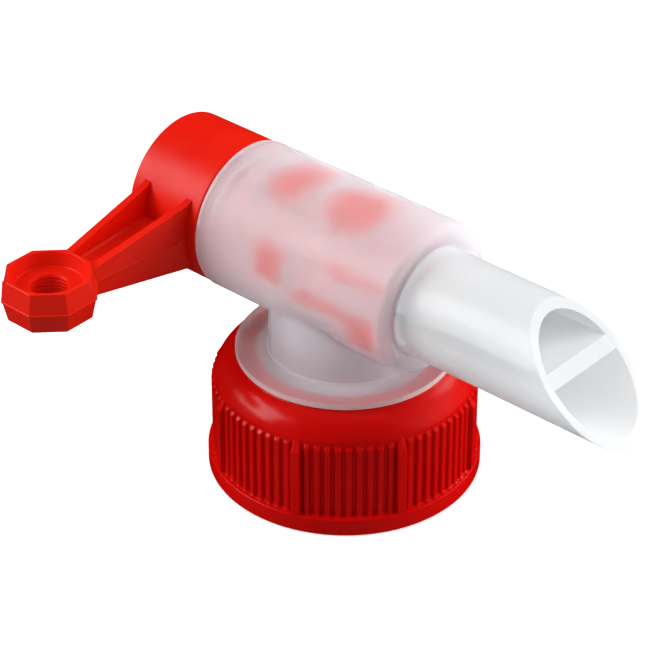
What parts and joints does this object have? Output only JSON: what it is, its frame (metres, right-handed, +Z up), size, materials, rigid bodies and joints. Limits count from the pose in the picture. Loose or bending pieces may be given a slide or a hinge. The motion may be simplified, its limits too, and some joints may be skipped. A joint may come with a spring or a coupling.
{
  "type": "canister dispensing tap",
  "caption": "Screw-on dispensing tap for a canister: ribbed red cap, frosted body with a cut spout, and a red rotary plug turned by a lever.",
  "frame": {"origin": "centre of the screw cap's open rim, on the cap's axis", "axes": "+Z up along the cap's axis, -Y along the spout towards its tip, -X along the lever with the valve closed"},
  "size_m": [0.0899, 0.1238, 0.0677],
  "materials": {
    "red_cap": "moulded polyethylene, opaque red, satin gloss",
    "gasket": "soft white foam seal, matt",
    "frosted_body": "natural polyethylene, translucent and frosted",
    "red_plug": "moulded polyethylene, opaque red, satin gloss"
  },
  "bodies": {
    "tap_body": {"tap_body": "frosted_body", "gasket": "gasket"},
    "valve_plug": {"valve_plug": "red_plug"},
    "screw_cap": {"screw_cap": "red_cap"}
  },
  "joints": [
    {"name": "lever_turn", "type": "hinge", "parent": "tap_body", "child": "valve_plug", "pos_m": [0, 0, 0.0508], "axis": [0, 1, 0], "range_deg": [0, 90]},
    {"name": "cap_spin", "type": "hinge", "parent": "tap_body", "child": "screw_cap", "pos_m": [0, 0, 0], "axis": [0, 0, 1], "continuous": true}
  ]
}
